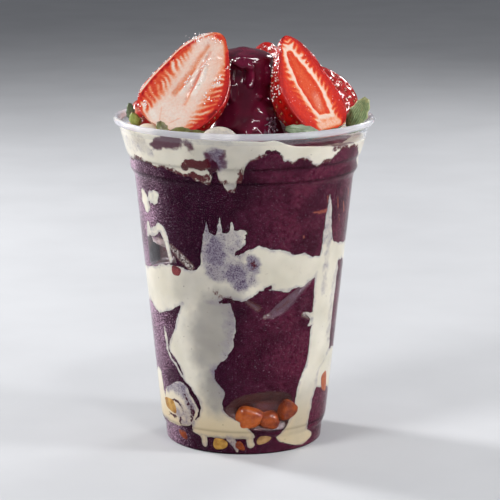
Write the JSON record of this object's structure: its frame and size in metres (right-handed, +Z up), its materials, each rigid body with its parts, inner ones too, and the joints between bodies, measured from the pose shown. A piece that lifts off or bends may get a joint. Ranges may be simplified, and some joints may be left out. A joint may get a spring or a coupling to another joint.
{
  "type": "acai cup",
  "caption": "Clear plastic cup of purple acai pulp with a band and runs of cream, fruit at the bottom, and a glossy mound with strawberry halves and sepals on top.",
  "frame": {"origin": "centre of the cup's foot, on the surface that the cup stands on", "axes": "+Z up the cup's axis, -Y towards the front, where the cream's long run is on the right"},
  "size_m": [0.098, 0.098, 0.1556],
  "materials": {
    "clear_plastic": "clear, glossy, thin",
    "acai": "frozen pulp, fine-grained, satin",
    "acai_glossy": "wet and glossy",
    "cream": "smooth, satin",
    "strawberry": "red skin, paler cut face, moist",
    "leaf": "dull green",
    "orange_fruit": "moist, translucent",
    "yellow_fruit": "moist, translucent",
    "tan_fruit": "moist",
    "red_fruit": "moist"
  },
  "bodies": {
    "root": {"cup": "clear_plastic", "acai_lower": "acai", "acai_upper": "acai", "acai_mound": "acai_glossy", "cream_middle": "cream", "cream_rim": "cream", "fruit_1": "yellow_fruit", "fruit_2": "orange_fruit", "fruit_3": "orange_fruit", "fruit_4": "orange_fruit", "fruit_5": "orange_fruit", "fruit_6": "yellow_fruit", "fruit_7": "orange_fruit", "fruit_8": "tan_fruit", "fruit_9": "orange_fruit", "fruit_10": "orange_fruit", "fruit_11": "yellow_fruit", "berry_bit": "red_fruit", "strawberry_front_left": "strawberry", "strawberry_front_right": "strawberry", "strawberry_back_right": "strawberry", "strawberry_back": "strawberry", "strawberry_back_left": "strawberry", "leaf_right": "leaf", "leaf_front_right": "leaf", "leaf_front_left": "leaf", "leaf_front": "leaf", "leaf_left": "leaf", "leaf_left_tip": "leaf", "leaf_back_right": "leaf", "leaf_back": "leaf"}
  },
  "joints": []
}
